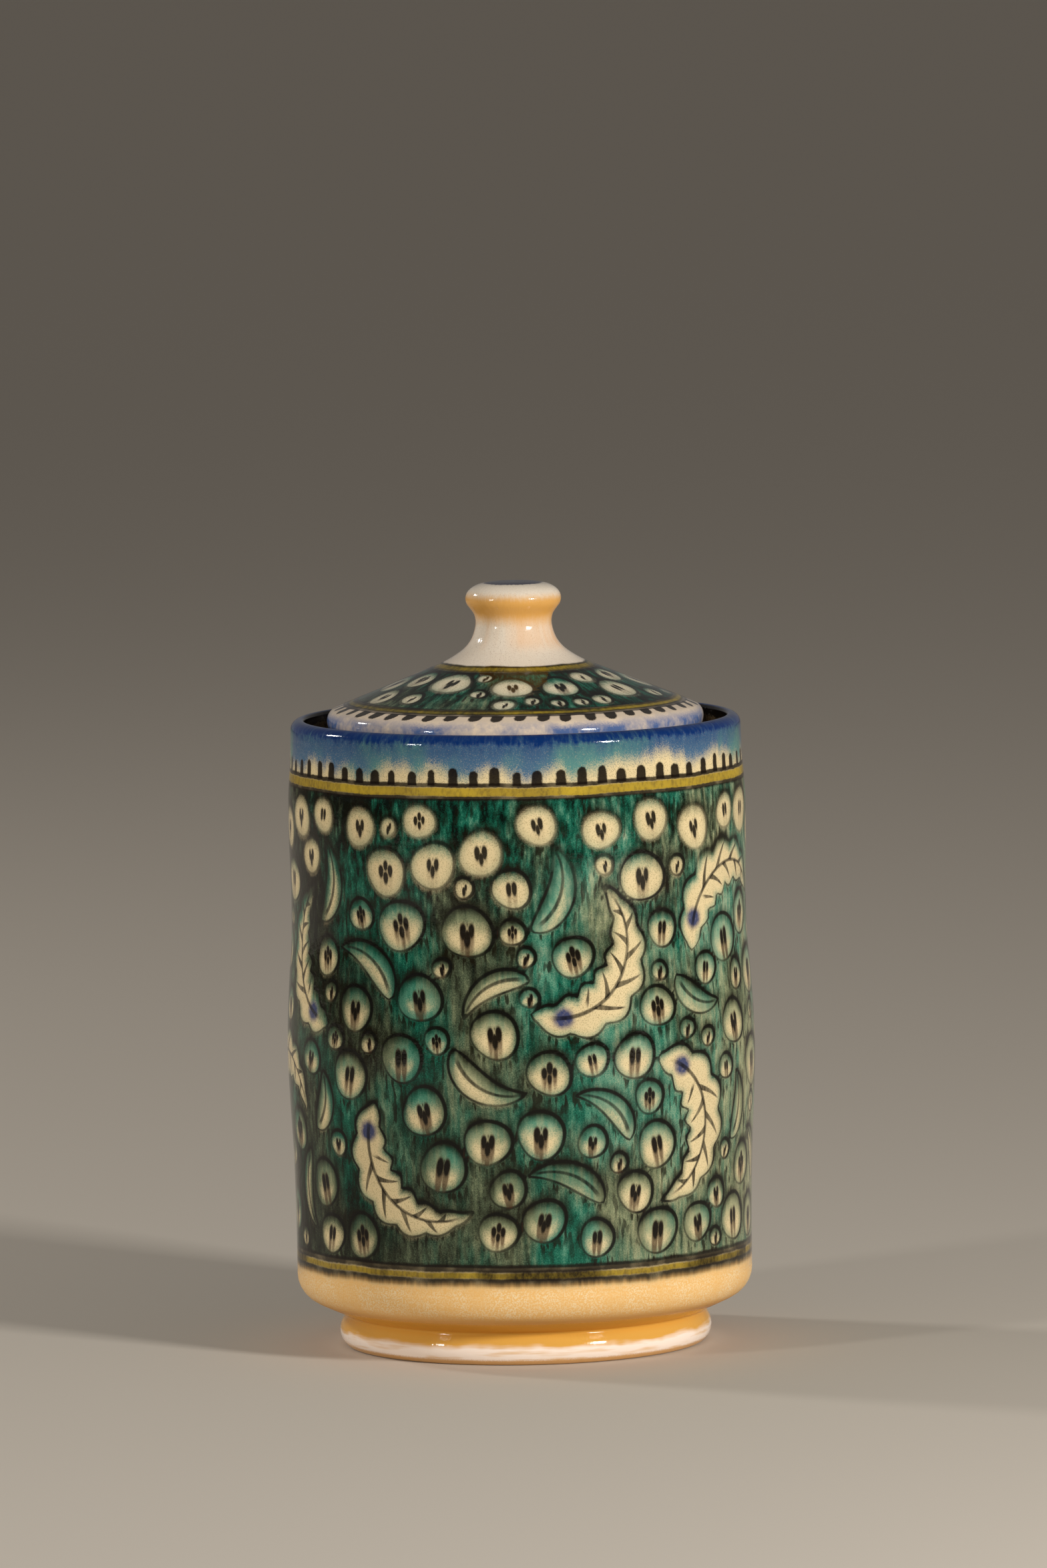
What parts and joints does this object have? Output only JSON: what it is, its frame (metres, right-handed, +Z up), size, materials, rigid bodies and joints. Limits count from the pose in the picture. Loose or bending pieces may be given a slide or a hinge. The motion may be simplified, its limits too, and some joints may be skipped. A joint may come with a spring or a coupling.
{
  "type": "lidded pottery jar",
  "caption": "Wheel-thrown cylindrical pottery jar on a turned foot ring, painted and glazed, closed by an inset conical lid with a knob that rests on a ledge inside the rim.",
  "frame": {"origin": "on the surface the jar stands on, at the centre of the foot ring", "axes": "+Z up along the jar's axis; -Y faces the viewer of the picture"},
  "size_m": [0.1258, 0.1258, 0.2052],
  "materials": {
    "jar_glaze": "glossy glaze over brushed copper green, cobalt blue, ochre and brown painting on a cream ground, with a bare-looking honey buff heel and foot",
    "lid_glaze": "the same painted glossy glaze, with a cream knob tipped in blue"
  },
  "bodies": {
    "jar": {"jar_body": "jar_glaze"},
    "lid": {"lid": "lid_glaze"}
  },
  "joints": [
    {"name": "lid_lift", "type": "slide", "parent": "jar", "child": "lid", "axis": [0, 0, 1], "range_m": [0, 0.1]}
  ]
}
